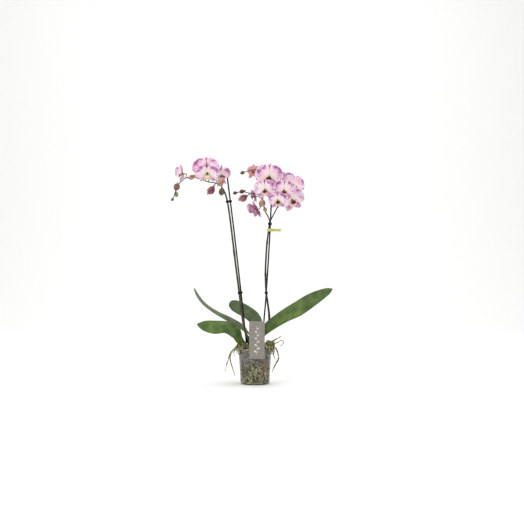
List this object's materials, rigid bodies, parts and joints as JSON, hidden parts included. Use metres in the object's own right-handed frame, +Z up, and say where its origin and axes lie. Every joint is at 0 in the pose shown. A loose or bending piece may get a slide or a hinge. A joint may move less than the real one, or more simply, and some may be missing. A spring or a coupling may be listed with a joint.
{
  "type": "potted orchid",
  "caption": "Potted moth orchid in a clear grow pot of bark, with arching staked flower spikes, waxy strap leaves, loose air roots and a blank care card.",
  "frame": {"origin": "middle of the pot's underside, on the surface that the pot stands on", "axes": "+Z up along the plant, -Y towards the side with the care card, +X to the right as seen from that side"},
  "size_m": [0.5154, 0.1436, 0.7266],
  "materials": {
    "clear_plastic": "clear thin moulded plastic, slightly hazy",
    "bark": "matt, broken bark chips",
    "crown": "living green stem tissue, satin",
    "leaf": "living leaf, waxy satin",
    "root": "living root skin, matt grey-green",
    "stake_plastic": "dark plastic, satin",
    "flower_stem": "living stem, satin, dark green-brown",
    "petal": "living petal, velvety, lilac-pink with purple blotches",
    "lip": "living lip, satin, peach with maroon",
    "bud": "living bud, satin, dusky rose",
    "card": "matt speckled grey card",
    "label": "matt yellow plastic strip"
  },
  "bodies": {
    "root": {"clear_pot": "clear_plastic", "bark_filling": "bark", "crown_and_roots": "crown", "leaf_right_long": "leaf", "leaf_left_long": "leaf", "leaf_left_low": "leaf", "leaf_back": "leaf", "air_roots_left": "root", "air_roots_right": "root", "stake_left": "stake_plastic", "stake_right": "stake_plastic", "flower_stem_left": "flower_stem", "flower_stem_right": "flower_stem", "clip_left_low": "stake_plastic", "clip_left_high": "stake_plastic", "clip_right_low": "stake_plastic", "clip_right_high": "stake_plastic", "bloom_right_1": "petal", "lip_right_1": "lip", "bloom_right_2": "petal", "lip_right_2": "lip", "bloom_right_3": "petal", "lip_right_3": "lip", "bloom_right_4": "petal", "lip_right_4": "lip", "bloom_right_5": "petal", "lip_right_5": "lip", "bloom_right_6": "petal", "lip_right_6": "lip", "bloom_right_7": "petal", "lip_right_7": "lip", "bloom_right_8": "petal", "lip_right_8": "lip", "bloom_right_9": "petal", "lip_right_9": "lip", "bloom_right_10": "petal", "lip_right_10": "lip", "bloom_left_1": "petal", "lip_left_1": "lip", "bloom_left_2": "petal", "lip_left_2": "lip", "bloom_left_3": "petal", "lip_left_3": "lip", "bloom_left_4": "petal", "lip_left_4": "lip", "right_opening_1": "bud", "right_opening_2": "bud", "left_opening_1": "bud", "left_opening_2": "bud", "left_opening_3": "bud", "right_bud_1": "bud", "right_bud_2": "bud", "right_bud_3": "bud", "right_bud_4": "bud", "left_bud_1": "bud", "left_bud_2": "bud", "left_bud_3": "bud", "left_bud_4": "bud", "care_card": "card", "yellow_label": "label"}
  },
  "joints": []
}
